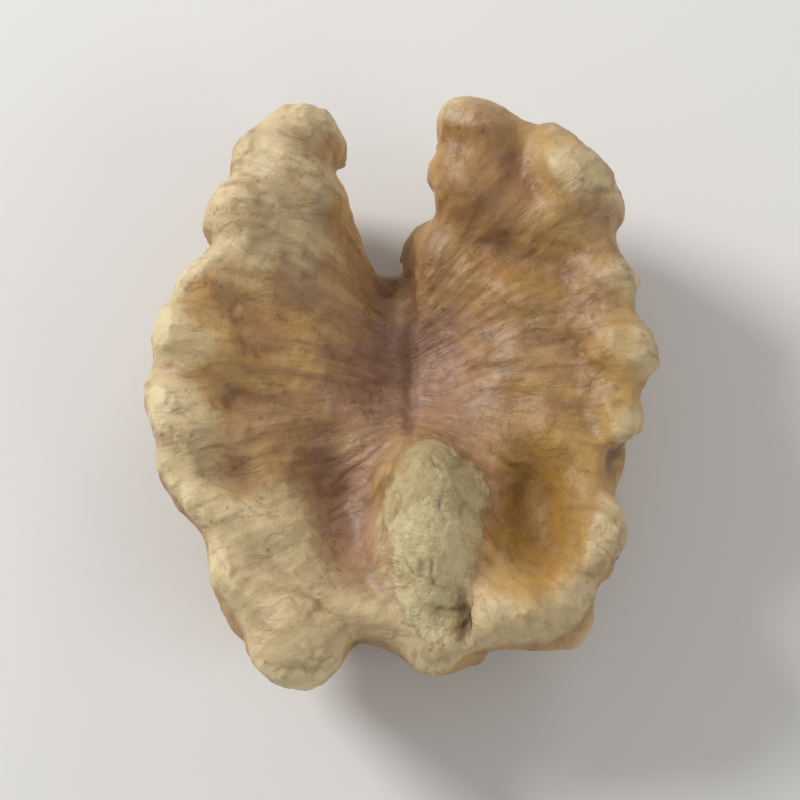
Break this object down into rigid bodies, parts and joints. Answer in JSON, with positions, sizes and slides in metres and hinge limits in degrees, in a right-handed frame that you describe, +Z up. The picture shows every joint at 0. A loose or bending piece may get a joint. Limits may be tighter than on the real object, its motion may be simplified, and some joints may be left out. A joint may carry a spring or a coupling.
{
  "type": "shelled walnut half",
  "caption": "Walnut kernel half, freed from its cracked shell: folded lobes with a notched end, a ridged back and a hollow inner face with a broken stub.",
  "frame": {"origin": "on the ground under the middle of the kernel's box, as it lies on its ridged back", "axes": "+Z up out of the hollow inner face, +Y along the kernel to its notched end, +X to the right of someone who looks down on the inner face"},
  "size_m": [0.0284, 0.0338, 0.0125],
  "materials": {
    "kernel_skin": "satin, thin oily skin with pale rubbed ridges"
  },
  "bodies": {
    "root": {"walnut_half": "kernel_skin"}
  },
  "joints": []
}
